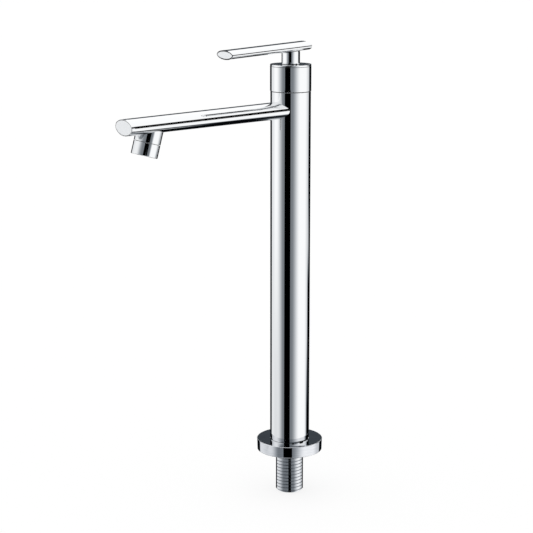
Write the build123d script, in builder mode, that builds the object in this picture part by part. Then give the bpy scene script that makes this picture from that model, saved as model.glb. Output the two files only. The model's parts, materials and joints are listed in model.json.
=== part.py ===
from build123d import *
from math import asin, cos, degrees, floor, radians, sin, tan
import os

# Cold water basin tap on a tall column, in millimetres
# Origin at the middle of the flange's underside, +Z up the column, spout towards -Y

# Fits
fixed_gap = 0.05      # radial gap between pieces that are screwed, soldered or pushed together
running_gap = 0.06    # radial gap of a turning piece in its bore
face_gap = 0.03       # gap between two faces that slide on each other
seal_gap = 0.04       # radial gap on each side of a ring seal in its groove

# Flange and its gasket
flange_diameter = 50.0
flange_height = 8.6
flange_top_edge = 0.35
flange_bottom_edge = 0.4
flange_hole_gap = 0.3
spigot_height = 3.0
gasket_outer_diameter = 42.5
gasket_width = 6.0
gasket_thickness = 2.4

# Threaded inlet tail
tail_thread_diameter = 20.955
tail_length = 33.0
thread_pitch = 2.6
thread_crest_width = 0.95
thread_root_width = 0.55
thread_depth = 0.95
thread_end_land = 0.5
tail_end_chamfer = 1.2
tail_bore_diameter = 12.0
tail_neck_step = 0.28
tail_engagement = 9.9
tail_washer_thickness = 1.5
tail_washer_width = 3.4

# Column
column_diameter = 30.0
column_wall = 1.5
column_length = 266.5
column_foot_bevel = 0.12
column_foot_bevel_height = 0.9

# Plug that fills the foot of the column
plug_floor = 3.0
plug_body_length = 16.4

# Riser pipe that carries the water up to the valve
riser_diameter = 12.0
riser_wall = 1.0
riser_socket_depth = 12.0
riser_socket_wall = 4.0
riser_end_gap = 0.5
riser_seal_section = 1.9
riser_seal_depth = 5.0

# Valve body in the top of the column
valve_body_wall = 3.2
cavity_step = 0.65
cavity_above_port = 4.9
valve_floor = 9.5
inlet_channel_diameter = 9.0

# Ceramic disc cartridge
flow_gap = 0.6
cartridge_wall = 1.3
chamber_above_port = 1.3
shoulder_seal_section = 1.4
hex_flange_height = 5.4
hex_gap = 0.6
neck_diameter = 14.0
neck_height = 3.8
window_width = 7.0
window_height = 5.0
cartridge_seal_height = 9.6
cartridge_seal_lip = 3.0
cartridge_seal_width = 2.0
disc_thickness = 3.0
disc_rim = 2.0
port_inner_radius = 1.9
port_overlap_angle = 4.0
scallop_step = 0.3

# Spindle
spindle_diameter = 8.0
driver_thickness = 3.0
driver_lug_width = 2.0
driver_lug_height = 1.0
stop_depth = 1.5
stop_angle = 8.0
stop_clearance_angle = 1.0
handle_turn = 90.0
thrust_ring_thickness = 0.9
spindle_seal_section = 1.0
spindle_seal_spacing = 4.0
spindle_seal_below_column_top = 2.0
clip_thickness = 0.9
clip_width = 2.2
clip_groove_depth = 0.7
clip_opening = 5.0

# Handle
cap_proud = 0.25
cap_height = 19.4
cap_wall = 1.95
cap_roof = 4.5
cap_edge_height = 1.3
cap_edge_inset = 0.06
cap_line_depth = 0.2
cap_line_width = 0.3
glide_ring_thickness = 0.45
glide_ring_inset = 0.2
hub_diameter = 16.0
hub_length = 4.3
spindle_socket_depth = 5.0
spindle_end_gap = 0.5
post_diameter = 13.6
post_height = 8.95
stud_diameter = 5.0
stud_grip_in_cap = 3.2
stud_grip_in_bar = 3.6
stud_end_gap = 0.3
bar_width = 21.2
bar_thickness = 6.8
bar_front_reach = 57.3
bar_rear_reach = 11.7
bar_slope = 3.4
bar_edge = 0.5
set_screw_diameter = 4.0
set_screw_length = 5.0
set_screw_socket = 2.0
set_screw_socket_depth = 1.8
set_screw_above_hub_end = 2.3
cover_diameter = 5.2
cover_thickness = 1.7

# Spout
spout_width = 24.0
spout_thickness = 11.8
spout_wall = 1.5
spout_reach = 140.0
spout_slope = 1.85
spout_drop = 12.85
spout_edge = 0.5
end_plate_thickness = 2.4
end_plate_lip = 3.0
root_block_length = 15.0
nipple_diameter = 7.8
nipple_wall = 1.2
nipple_grip_in_block = 10.0

# Outlet under the spout's end
outlet_from_spout_end = 21.85
outlet_tilt = 15.6
outlet_diameter = 19.2
outlet_collar_end = 12.67
outlet_end = 22.23
outlet_spigot_diameter = 14.0
outlet_spigot_wall = 1.4
outlet_spigot_inside = 1.9
outlet_edge = 0.45
outlet_seam = 0.25
aerator_thread_wall = 1.3
aerator_thread_length = 3.6
aerator_washer_thickness = 1.1
aerator_washer_width = 2.4
aerator_wall = 1.1
aerator_lip = 1.2
aerator_lip_height = 0.9
aerator_insert_height = 7.0
aerator_hole_diameter = 1.5
aerator_hole_spacing = 2.1
first_ring_holes = 6
screen_thickness = 0.6
screen_hole_diameter = 0.9
screen_hole_spacing = 1.4

# Sizes that follow from the ones above
flange_radius = flange_diameter / 2
column_radius = column_diameter / 2
column_bore_radius = column_radius - column_wall
column_fit_radius = column_bore_radius - fixed_gap
column_foot = flange_height
column_top = column_foot + column_length

thread_radius = tail_thread_diameter / 2
tail_bore_radius = tail_bore_diameter / 2
tail_neck_radius = thread_radius - tail_neck_step
flange_hole_radius = tail_neck_radius + flange_hole_gap
spigot_top = flange_height + spigot_height
gasket_outer_radius = gasket_outer_diameter / 2
gasket_inner_radius = gasket_outer_radius - gasket_width

tail_top = spigot_top + tail_engagement
plug_shoulder = tail_top + tail_washer_thickness
plug_socket_floor = plug_shoulder + plug_floor
plug_top = plug_socket_floor + riser_socket_depth

riser_radius = riser_diameter / 2
riser_bore_radius = riser_radius - riser_wall
socket_radius = riser_radius + fixed_gap
socket_neck_radius = riser_radius + riser_socket_wall

spout_axis_height = column_top - spout_drop
cartridge_bore_radius = column_fit_radius - valve_body_wall
cavity_radius = cartridge_bore_radius - cavity_step
port_height = spout_axis_height - cavity_radius * tan(radians(spout_slope))
cavity_top = port_height + cavity_above_port
chamber_top = port_height + chamber_above_port
driver_top = chamber_top - thrust_ring_thickness - 2 * face_gap
driver_bottom = driver_top - driver_thickness
moving_disc_bottom = driver_bottom - face_gap - disc_thickness
fixed_disc_top = moving_disc_bottom - face_gap
fixed_disc_bottom = fixed_disc_top - disc_thickness
seat_height = fixed_disc_bottom - cartridge_seal_height
valve_socket_floor = seat_height - valve_floor
valve_bottom = valve_socket_floor - riser_socket_depth

cartridge_thread_radius = cartridge_bore_radius - fixed_gap
sleeve_radius = cavity_radius - flow_gap
chamber_radius = sleeve_radius - cartridge_wall
disc_radius = chamber_radius - running_gap
port_outer_radius = disc_radius - disc_rim
port_middle_radius = (port_outer_radius + port_inner_radius) / 2
port_width = port_outer_radius - port_inner_radius
port_end_angle = degrees(asin(port_width / 2 / port_middle_radius))
port_angle = handle_turn - 2 * port_end_angle - 2 * port_overlap_angle
scallop_radius = disc_radius - port_inner_radius - scallop_step

spindle_radius = spindle_diameter / 2
spindle_bore_radius = spindle_radius + running_gap
stop_radius = chamber_radius - stop_depth
hex_flange_top = column_top + hex_flange_height
neck_top = hex_flange_top + neck_height
clip_bottom = neck_top + face_gap

cap_radius = column_radius + cap_proud
cap_bore_radius = cap_radius - cap_wall
cap_bottom = column_top + glide_ring_thickness + face_gap
cap_top = cap_bottom + cap_height
cap_ceiling = cap_top - cap_roof
hub_radius = hub_diameter / 2
hub_bottom = cap_ceiling - hub_length
spindle_socket_top = hub_bottom + spindle_socket_depth
spindle_top = spindle_socket_top - spindle_end_gap
set_screw_height = hub_bottom + set_screw_above_hub_end
hex_corner_radius = cap_bore_radius - hex_gap

post_radius = post_diameter / 2
bar_axis_height = cap_top + post_height + bar_thickness / 2 * cos(radians(bar_slope))
stud_radius = stud_diameter / 2
stud_bottom = cap_top - stud_grip_in_cap
stud_top = bar_axis_height - bar_thickness / 2 + stud_grip_in_bar

outlet_reach = spout_reach - outlet_from_spout_end
outlet_radius = outlet_diameter / 2
spigot_outer = outlet_spigot_diameter / 2 - fixed_gap
spigot_bore = spigot_outer - outlet_spigot_wall
spigot_start = spout_thickness / 2 - outlet_spigot_inside
aerator_thread_start = outlet_collar_end - aerator_thread_length
washer_start = aerator_thread_start - aerator_washer_thickness
collar_recess_radius = outlet_radius - aerator_thread_wall

# Planes along the spout, the handle bar and the outlet
spout_direction = (0, -cos(radians(spout_slope)), -sin(radians(spout_slope)))
spout_plane = Plane(origin=(0, 0, spout_axis_height), x_dir=(1, 0, 0), z_dir=spout_direction)
bar_direction = (0, -cos(radians(bar_slope)), -sin(radians(bar_slope)))
bar_plane = Plane(origin=(0, 0, bar_axis_height), x_dir=(1, 0, 0), z_dir=bar_direction)
outlet_direction = (0, -sin(radians(outlet_tilt)), -cos(radians(outlet_tilt)))
outlet_origin = spout_plane.offset(outlet_reach).origin
outlet_plane = Plane(origin=outlet_origin, x_dir=(1, 0, 0), z_dir=outlet_direction)
rear_plane = Plane(origin=(0, 0, set_screw_height), x_dir=(-1, 0, 0), z_dir=(0, 1, 0))


def washer(plane, outer_radius, inner_radius, thickness):
    """Flat ring that stands on the plane."""
    with BuildPart() as ring:
        with BuildSketch(plane):
            Circle(outer_radius)
            Circle(inner_radius, mode=Mode.SUBTRACT)
        extrude(amount=thickness)
    return ring


def ring_seal(height, inner_radius, section):
    """Round seal about the Z axis that lies just outside a wall of the inner radius."""
    with BuildPart(Plane.XY.offset(height)) as seal:
        Torus(inner_radius + seal_gap + section / 2, section / 2)
    return seal


def perforated_disc(plane, radius, thickness, clear_radius, hole_diameter, hole_spacing):
    """Disc with a hole in its middle and rings of holes around it, as many as the clear radius takes."""
    ring_count = floor((clear_radius - hole_diameter / 2) / hole_spacing)
    with BuildPart() as disc:
        with BuildSketch(plane):
            Circle(radius)
            Circle(hole_diameter / 2, mode=Mode.SUBTRACT)
            for ring in range(1, ring_count + 1):
                with PolarLocations(ring * hole_spacing, ring * first_ring_holes):
                    Circle(hole_diameter / 2, mode=Mode.SUBTRACT)
        extrude(amount=thickness)
    return disc


# Flange that covers the hole in the basin
with BuildPart() as base_flange:
    Cylinder(flange_radius, flange_height, align=(Align.CENTER, Align.CENTER, Align.MIN))
    fillet(base_flange.edges().group_by(Axis.Z)[-1], flange_top_edge)
    fillet(base_flange.edges().group_by(Axis.Z)[0], flange_bottom_edge)
    with BuildSketch(Plane.XY.offset(flange_height)):
        Circle(column_fit_radius)
    extrude(amount=spigot_height)
    with BuildSketch():
        Circle(flange_hole_radius)
    extrude(amount=spigot_top, mode=Mode.SUBTRACT)
    with BuildSketch():
        Circle(gasket_outer_radius + fixed_gap)
        Circle(gasket_inner_radius - fixed_gap, mode=Mode.SUBTRACT)
    extrude(amount=gasket_thickness, mode=Mode.SUBTRACT)

# Rubber gasket in the flange's underside
base_gasket = washer(Plane.XY, gasket_outer_radius, gasket_inner_radius, gasket_thickness)

# Inlet tail, its thread shown by rings of the thread's outside diameter
groove_count = floor((tail_length - tail_end_chamfer - thread_end_land) / thread_pitch)
groove_mouth = thread_pitch - thread_crest_width
groove_places = [(thread_radius, -thread_crest_width - thread_pitch * turn) for turn in range(groove_count)]
with BuildPart() as inlet_tail:
    with BuildSketch(Plane.XY.offset(-tail_length)):
        Circle(thread_radius)
    extrude(amount=tail_length)
    chamfer(inlet_tail.edges().group_by(Axis.Z)[0], tail_end_chamfer)
    with BuildSketch():
        Circle(tail_neck_radius)
    extrude(amount=tail_top)
    with BuildSketch(Plane.XZ):
        with Locations(*groove_places):
            Polygon(
                (0, 0),
                (0, -groove_mouth),
                (-thread_depth, -(groove_mouth + thread_root_width) / 2),
                (-thread_depth, -(groove_mouth - thread_root_width) / 2),
                align=None,
            )
    revolve(axis=Axis.Z, mode=Mode.SUBTRACT)
    with BuildSketch(Plane.XY.offset(-tail_length)):
        Circle(tail_bore_radius)
    extrude(amount=tail_length + tail_top, mode=Mode.SUBTRACT)

# Fibre washer on top of the tail
tail_washer_outer = tail_neck_radius - fixed_gap
tail_washer = washer(
    Plane.XY.offset(tail_top),
    tail_washer_outer,
    tail_washer_outer - tail_washer_width,
    tail_washer_thickness,
)

# Brass plug in the foot of the column, between the tail and the riser
plug_seal_height = plug_top - riser_seal_depth
seal_groove_radius = riser_radius + riser_seal_section + 2 * seal_gap
seal_groove_height = riser_seal_section + 2 * seal_gap
with BuildPart() as foot_plug:
    with BuildSketch(Plane.XY.offset(spigot_top)):
        Circle(column_fit_radius)
    extrude(amount=plug_body_length)
    with BuildSketch(Plane.XY.offset(spigot_top)):
        Circle(socket_neck_radius)
    extrude(amount=plug_top - spigot_top)
    with BuildSketch(Plane.XY.offset(spigot_top)):
        Circle(tail_neck_radius + fixed_gap)
    extrude(amount=plug_shoulder - spigot_top, mode=Mode.SUBTRACT)
    with BuildSketch(Plane.XY.offset(plug_shoulder)):
        Circle(riser_bore_radius)
    extrude(amount=plug_floor, mode=Mode.SUBTRACT)
    with BuildSketch(Plane.XY.offset(plug_socket_floor)):
        Circle(socket_radius)
    extrude(amount=riser_socket_depth, mode=Mode.SUBTRACT)
    with BuildSketch(Plane.XY.offset(plug_seal_height - seal_groove_height / 2)):
        Circle(seal_groove_radius)
    extrude(amount=seal_groove_height, mode=Mode.SUBTRACT)

# Riser pipe and the seal at each of its ends
riser_bottom = plug_socket_floor + riser_end_gap
riser_length = valve_socket_floor - riser_end_gap - riser_bottom
riser_pipe = washer(Plane.XY.offset(riser_bottom), riser_radius, riser_bore_radius, riser_length)
lower_riser_seal = ring_seal(plug_seal_height, riser_radius, riser_seal_section)
valve_seal_height = valve_bottom + riser_seal_depth
upper_riser_seal = ring_seal(valve_seal_height, riser_radius, riser_seal_section)

# Column, a tube with a hole for the spout's nipple
nipple_radius = nipple_diameter / 2
nipple_hole_radius = nipple_radius + fixed_gap
with BuildPart() as column_tube:
    with BuildSketch(Plane.XY.offset(column_foot)):
        Circle(column_radius)
        Circle(column_bore_radius, mode=Mode.SUBTRACT)
    extrude(amount=column_length)
    foot_face = column_tube.faces().sort_by(Axis.Z)[0]
    chamfer(
        foot_face.edges().sort_by(SortBy.RADIUS)[-1],
        column_foot_bevel,
        column_foot_bevel_height,
        reference=foot_face,
    )
    with BuildSketch(spout_plane):
        Circle(nipple_hole_radius)
    extrude(amount=2 * column_radius, mode=Mode.SUBTRACT)

# Valve body: riser socket below, seat and cavity in the middle, cartridge thread on top
shoulder_seal_outer = cartridge_bore_radius + shoulder_seal_section + 2 * seal_gap
shoulder_seal_pocket = shoulder_seal_section + seal_gap
with BuildPart() as valve_body:
    with BuildSketch(Plane.XY.offset(valve_socket_floor)):
        Circle(column_fit_radius)
    extrude(amount=column_top - valve_socket_floor)
    with BuildSketch(Plane.XY.offset(valve_bottom)):
        Circle(socket_neck_radius)
    extrude(amount=riser_socket_depth)
    with BuildSketch(Plane.XY.offset(valve_bottom)):
        Circle(socket_radius)
    extrude(amount=riser_socket_depth, mode=Mode.SUBTRACT)
    with BuildSketch(Plane.XY.offset(valve_seal_height - seal_groove_height / 2)):
        Circle(seal_groove_radius)
    extrude(amount=seal_groove_height, mode=Mode.SUBTRACT)
    with BuildSketch(Plane.XY.offset(valve_socket_floor)):
        Circle(inlet_channel_diameter / 2)
    extrude(amount=valve_floor, mode=Mode.SUBTRACT)
    with BuildSketch(Plane.XY.offset(seat_height)):
        Circle(cavity_radius)
    extrude(amount=cavity_top - seat_height, mode=Mode.SUBTRACT)
    with BuildSketch(Plane.XY.offset(cavity_top)):
        Circle(cartridge_bore_radius)
    extrude(amount=column_top - cavity_top, mode=Mode.SUBTRACT)
    with BuildSketch(Plane.XY.offset(column_top)):
        Circle(shoulder_seal_outer)
    extrude(amount=-shoulder_seal_pocket, mode=Mode.SUBTRACT)
    with BuildSketch(spout_plane):
        Circle(nipple_hole_radius)
    extrude(amount=2 * column_radius, mode=Mode.SUBTRACT)

# Spout: an oval tube, shaped at its root to the column
with BuildPart() as spout_tube:
    with BuildSketch(spout_plane):
        Ellipse(spout_width / 2, spout_thickness / 2)
        Ellipse(spout_width / 2 - spout_wall, spout_thickness / 2 - spout_wall, mode=Mode.SUBTRACT)
    extrude(amount=spout_reach - end_plate_thickness)
    with BuildSketch():
        Circle(column_radius)
    extrude(amount=column_top, mode=Mode.SUBTRACT)
    with BuildSketch(outlet_plane):
        Circle(outlet_spigot_diameter / 2)
    extrude(amount=outlet_collar_end, mode=Mode.SUBTRACT)
    with BuildSketch(outlet_plane.offset(washer_start)):
        Circle(collar_recess_radius)
    extrude(amount=outlet_collar_end, mode=Mode.SUBTRACT)

# Plate that closes the spout's front end, with a lip inside the tube
lip_width = spout_width / 2 - spout_wall - fixed_gap
lip_thickness = spout_thickness / 2 - spout_wall - fixed_gap
with BuildPart() as spout_end_plate:
    with BuildSketch(spout_plane.offset(spout_reach - end_plate_thickness)):
        Ellipse(spout_width / 2, spout_thickness / 2)
    extrude(amount=end_plate_thickness)
    chamfer(spout_end_plate.faces().sort_by(Axis.Y)[0].edges(), spout_edge)
    with BuildSketch(spout_plane.offset(spout_reach - end_plate_thickness)):
        Ellipse(lip_width, lip_thickness)
        Ellipse(lip_width - spout_wall, lip_thickness - spout_wall, mode=Mode.SUBTRACT)
    extrude(amount=-end_plate_lip)

# Block in the spout's root, and the hollow nipple that bolts it to the valve body
with BuildPart() as spout_root_block:
    with BuildSketch(spout_plane):
        Ellipse(lip_width, lip_thickness)
    extrude(amount=column_radius + root_block_length)
    with BuildSketch():
        Circle(column_radius + fixed_gap)
    extrude(amount=column_top, mode=Mode.SUBTRACT)
    with BuildSketch(spout_plane):
        Circle(nipple_hole_radius)
    extrude(amount=spout_reach, mode=Mode.SUBTRACT)

nipple_start = cavity_radius + fixed_gap
nipple_length = column_radius + nipple_grip_in_block - nipple_start
spout_nipple = washer(
    spout_plane.offset(nipple_start), nipple_radius, nipple_radius - nipple_wall, nipple_length
)

# Outlet collar, shaped to the spout's underside
with BuildPart() as outlet_collar:
    with BuildSketch(outlet_plane):
        Circle(outlet_radius)
    extrude(amount=outlet_collar_end)
    with BuildSketch(spout_plane):
        Ellipse(spout_width / 2, spout_thickness / 2)
    extrude(amount=spout_reach, mode=Mode.SUBTRACT)
    with BuildSketch(outlet_plane.offset(spigot_start)):
        Circle(spigot_outer)
    extrude(amount=washer_start - spigot_start)
    with BuildSketch(outlet_plane.offset(spigot_start)):
        Circle(spigot_bore)
    extrude(amount=outlet_end, mode=Mode.SUBTRACT)
    with BuildSketch(outlet_plane.offset(washer_start)):
        Circle(collar_recess_radius)
    extrude(amount=outlet_end, mode=Mode.SUBTRACT)

# Aerator: rubber washer, screwed housing, strainer and insert
aerator_washer = washer(
    outlet_plane.offset(washer_start),
    collar_recess_radius - fixed_gap,
    collar_recess_radius - fixed_gap - aerator_washer_width,
    aerator_washer_thickness,
)

housing_start = outlet_collar_end + outlet_seam
neck_outer = collar_recess_radius - fixed_gap
insert_radius = neck_outer - aerator_wall - fixed_gap
insert_end = outlet_end - aerator_lip_height
insert_start = insert_end - aerator_insert_height
screen_start = insert_start - screen_thickness
with BuildPart() as aerator_housing:
    with BuildSketch(outlet_plane.offset(housing_start)):
        Circle(outlet_radius)
    extrude(amount=outlet_end - housing_start)
    fillet(aerator_housing.faces().sort_by(Axis.Z)[0].edges(), outlet_edge)
    with BuildSketch(outlet_plane.offset(aerator_thread_start)):
        Circle(neck_outer)
    extrude(amount=housing_start - aerator_thread_start)
    with BuildSketch(outlet_plane.offset(aerator_thread_start)):
        Circle(insert_radius + fixed_gap)
    extrude(amount=insert_end - aerator_thread_start, mode=Mode.SUBTRACT)
    with BuildSketch(outlet_plane.offset(aerator_thread_start)):
        Circle(insert_radius - aerator_lip)
    extrude(amount=outlet_end, mode=Mode.SUBTRACT)

aerator_insert = perforated_disc(
    outlet_plane.offset(insert_start),
    insert_radius,
    aerator_insert_height,
    insert_radius - aerator_lip,
    aerator_hole_diameter,
    aerator_hole_spacing,
)
flow_screen = perforated_disc(
    outlet_plane.offset(screen_start),
    insert_radius,
    screen_thickness,
    insert_radius - aerator_lip,
    screen_hole_diameter,
    screen_hole_spacing,
)

# Rubber seal between the valve seat and the fixed disc
sleeve_bottom = seat_height + cartridge_seal_lip
cartridge_seal_radius = chamber_radius - fixed_gap
with BuildPart() as cartridge_seal:
    with BuildSketch(Plane.XY.offset(seat_height)):
        Circle(sleeve_radius)
    extrude(amount=cartridge_seal_lip)
    with BuildSketch(Plane.XY.offset(sleeve_bottom)):
        Circle(cartridge_seal_radius)
    extrude(amount=fixed_disc_bottom - sleeve_bottom)
    with BuildSketch(Plane.XY.offset(seat_height)):
        Circle(cartridge_seal_radius - cartridge_seal_width)
    extrude(amount=cartridge_seal_height, mode=Mode.SUBTRACT)

# Fixed ceramic disc, its two ports before and behind the spindle
with BuildPart() as fixed_disc:
    with BuildSketch(Plane.XY.offset(fixed_disc_bottom)):
        Circle(chamber_radius - fixed_gap)
        with PolarLocations(0, 2, start_angle=90):
            SlotArc(
                CenterArc((0, 0), port_middle_radius, -port_angle / 2, port_angle),
                port_width,
                mode=Mode.SUBTRACT,
            )
    extrude(amount=disc_thickness)

# Moving ceramic disc, scalloped at the sides: it covers the ports at rest and clears them when turned
lug_slot = driver_lug_width + 2 * running_gap
with BuildPart() as moving_disc:
    with BuildSketch(Plane.XY.offset(moving_disc_bottom)):
        Circle(disc_radius)
        with PolarLocations(disc_radius, 2, start_angle=90 - handle_turn):
            Circle(scallop_radius, mode=Mode.SUBTRACT)
    extrude(amount=disc_thickness)
    with BuildSketch(Plane.XY.offset(moving_disc_bottom + disc_thickness)):
        Rectangle(lug_slot, 2 * disc_radius)
    extrude(amount=-(driver_lug_height + running_gap), mode=Mode.SUBTRACT)

# Cartridge body: sleeve with windows, thread, hexagon and spindle guide
stop_middle_radius = (stop_radius + sleeve_radius) / 2
with BuildPart() as cartridge_body:
    with BuildSketch(Plane.XY.offset(sleeve_bottom)):
        Circle(sleeve_radius)
    extrude(amount=cavity_top - sleeve_bottom)
    with BuildSketch(Plane.XY.offset(cavity_top)):
        Circle(cartridge_thread_radius)
    extrude(amount=column_top - cavity_top)
    with BuildSketch(Plane.XY.offset(column_top)):
        RegularPolygon(hex_corner_radius, 6)
    extrude(amount=hex_flange_height)
    with BuildSketch(Plane.XY.offset(hex_flange_top)):
        Circle(neck_diameter / 2)
    extrude(amount=neck_height)
    with BuildSketch(Plane.XY.offset(sleeve_bottom)):
        Circle(chamber_radius)
    extrude(amount=chamber_top - sleeve_bottom, mode=Mode.SUBTRACT)
    with BuildSketch(Plane.XY.offset(chamber_top)):
        Circle(spindle_bore_radius)
    extrude(amount=neck_top - chamber_top, mode=Mode.SUBTRACT)
    with BuildSketch(Plane.XZ):
        with Locations((0, moving_disc_bottom + window_height / 2)):
            Rectangle(window_width, window_height)
    extrude(amount=2 * sleeve_radius, both=True, mode=Mode.SUBTRACT)
    with BuildSketch(Plane.XY.offset(driver_bottom + face_gap)):
        with Locations((stop_middle_radius, 0)):
            Rectangle(sleeve_radius - stop_radius, 2 * stop_radius * sin(radians(stop_angle / 2)))
    extrude(amount=driver_thickness)

# Ring between the spindle's driver and the roof of the cartridge's chamber
thrust_ring = washer(
    Plane.XY.offset(driver_top + face_gap),
    chamber_radius - fixed_gap,
    spindle_bore_radius + fixed_gap,
    thrust_ring_thickness,
)

# Seal under the cartridge's hexagon
shoulder_seal_height = column_top - shoulder_seal_pocket + seal_gap / 2 + shoulder_seal_section / 2
shoulder_seal = ring_seal(shoulder_seal_height, cartridge_bore_radius, shoulder_seal_section)

# Spindle, with its driver, stop notch, seal grooves and clip groove
notch_angle = handle_turn + stop_angle + 2 * stop_clearance_angle
notch_start = stop_angle / 2 + stop_clearance_angle - notch_angle
notch_middle_radius = chamber_radius - stop_depth / 2
notch_width = stop_depth + 2 * running_gap
seal_root_radius = spindle_bore_radius - spindle_seal_section - 2 * face_gap
upper_seal_height = column_top - spindle_seal_below_column_top
spindle_seal_heights = [upper_seal_height, upper_seal_height - spindle_seal_spacing]
clip_root_radius = spindle_radius - clip_groove_depth
with BuildPart() as spindle:
    with BuildSketch(Plane.XY.offset(driver_bottom)):
        Circle(disc_radius)
    extrude(amount=driver_thickness)
    with BuildSketch(Plane.XY.offset(driver_bottom)):
        SlotArc(CenterArc((0, 0), notch_middle_radius, notch_start, notch_angle), notch_width)
    extrude(amount=driver_thickness, mode=Mode.SUBTRACT)
    with BuildSketch(Plane.XY.offset(driver_bottom)):
        Rectangle(driver_lug_width, 2 * stop_radius)
    extrude(amount=-driver_lug_height)
    with BuildSketch(Plane.XY.offset(driver_top)):
        Circle(spindle_radius)
    extrude(amount=spindle_top - driver_top)
    for seal_height in spindle_seal_heights:
        with BuildSketch(Plane.XY.offset(seal_height - spindle_seal_section / 2 - seal_gap)):
            Circle(spindle_bore_radius)
            Circle(seal_root_radius, mode=Mode.SUBTRACT)
        extrude(amount=spindle_seal_section + 2 * seal_gap, mode=Mode.SUBTRACT)
    with BuildSketch(Plane.XY.offset(clip_bottom)):
        Circle(spindle_bore_radius)
        Circle(clip_root_radius, mode=Mode.SUBTRACT)
    extrude(amount=clip_thickness, mode=Mode.SUBTRACT)

# Two seals on the spindle
spindle_seal_places = [(0, 0, seal_height) for seal_height in spindle_seal_heights]
spindle_seal_radius = (spindle_bore_radius + seal_root_radius) / 2
with BuildPart() as spindle_seals:
    with Locations(*spindle_seal_places):
        Torus(spindle_seal_radius, spindle_seal_section / 2)

# Clip that holds the spindle down on the cartridge's neck
clip_inner = clip_root_radius + fixed_gap
with BuildPart() as spindle_clip:
    with BuildSketch(Plane.XY.offset(clip_bottom)):
        Circle(clip_inner + clip_width)
        Circle(clip_inner, mode=Mode.SUBTRACT)
        with Locations((0, clip_inner + clip_width / 2)):
            Rectangle(clip_opening, 2 * clip_width, mode=Mode.SUBTRACT)
    extrude(amount=clip_thickness)

# Slippery ring on the column's top edge, under the cap
glide_ring = washer(
    Plane.XY.offset(column_top),
    column_radius - glide_ring_inset,
    hex_corner_radius + glide_ring_inset,
    glide_ring_thickness,
)

# Cap that turns with the handle: skirt, roof, hub and the hole for the set screw
edge_line_height = cap_top - cap_edge_height
with BuildPart() as handle_cap:
    with BuildSketch(Plane.XZ):
        with BuildLine():
            Polyline(
                (0, cap_bottom),
                (cap_radius, cap_bottom),
                (cap_radius, edge_line_height - cap_line_width),
                (cap_radius - cap_line_depth, edge_line_height - cap_line_width / 2),
                (cap_radius, edge_line_height),
                (cap_radius - cap_edge_inset, cap_top),
                (0, cap_top),
                close=True,
            )
        make_face()
    revolve(axis=Axis.Z)
    with BuildSketch(Plane.XY.offset(cap_bottom)):
        Circle(cap_bore_radius)
    extrude(amount=cap_ceiling - cap_bottom, mode=Mode.SUBTRACT)
    with BuildSketch(Plane.XY.offset(hub_bottom)):
        Circle(hub_radius)
    extrude(amount=cap_ceiling - hub_bottom)
    with BuildSketch(Plane.XY.offset(hub_bottom)):
        Circle(spindle_radius + fixed_gap)
    extrude(amount=spindle_socket_depth, mode=Mode.SUBTRACT)
    with BuildSketch(Plane.XY.offset(stud_bottom - stud_end_gap)):
        Circle(stud_radius + fixed_gap)
    extrude(amount=stud_grip_in_cap + stud_end_gap, mode=Mode.SUBTRACT)
    with BuildSketch(rear_plane):
        Circle(set_screw_diameter / 2 + fixed_gap)
    extrude(amount=hub_radius, mode=Mode.SUBTRACT)
    with BuildSketch(rear_plane.offset(hub_radius)):
        Circle(cover_diameter / 2 + fixed_gap)
    extrude(amount=cap_radius, mode=Mode.SUBTRACT)

# Grub screw that grips the spindle, reached from behind
with BuildPart() as handle_set_screw:
    with BuildSketch(rear_plane.offset(spindle_radius)):
        Circle(set_screw_diameter / 2)
    extrude(amount=set_screw_length)
    with BuildSketch(rear_plane.offset(spindle_radius + set_screw_length)):
        RegularPolygon(set_screw_socket / 2, 6, major_radius=False)
    extrude(amount=-set_screw_socket_depth, mode=Mode.SUBTRACT)

# Cover that plugs the set screw's hole, flush with the cap
with BuildPart() as screw_cover:
    with BuildSketch(rear_plane.offset(cap_radius - cover_thickness)):
        Circle(cover_diameter / 2)
    extrude(amount=cap_radius)
    Cylinder(cap_radius, 2 * cap_top, mode=Mode.INTERSECT)

# Post between the cap and the bar, shaped at its top to the bar's underside
with BuildPart() as handle_post:
    with BuildSketch(Plane.XY.offset(cap_top)):
        Circle(post_radius)
        Circle(stud_radius + fixed_gap, mode=Mode.SUBTRACT)
    extrude(amount=bar_axis_height - cap_top)
    with BuildSketch(bar_plane):
        Ellipse(bar_width / 2, bar_thickness / 2)
    extrude(amount=bar_front_reach, both=True, mode=Mode.SUBTRACT)

# Stud that draws the bar, the post and the cap together
with BuildPart() as handle_stud:
    with BuildSketch(Plane.XY.offset(stud_bottom)):
        Circle(stud_radius)
    extrude(amount=stud_top - stud_bottom)

# Handle bar, a flat oval that points along the spout
with BuildPart() as handle_bar:
    with BuildSketch(bar_plane.offset(-bar_rear_reach)):
        Ellipse(bar_width / 2, bar_thickness / 2)
    extrude(amount=bar_rear_reach + bar_front_reach)
    fillet(handle_bar.faces().sort_by(Axis.Y)[0].edges(), bar_edge)
    fillet(handle_bar.faces().sort_by(Axis.Y)[-1].edges(), bar_edge)
    with BuildSketch(Plane.XY.offset(stud_bottom)):
        Circle(stud_radius + fixed_gap)
    extrude(amount=stud_top + stud_end_gap - stud_bottom, mode=Mode.SUBTRACT)

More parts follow.
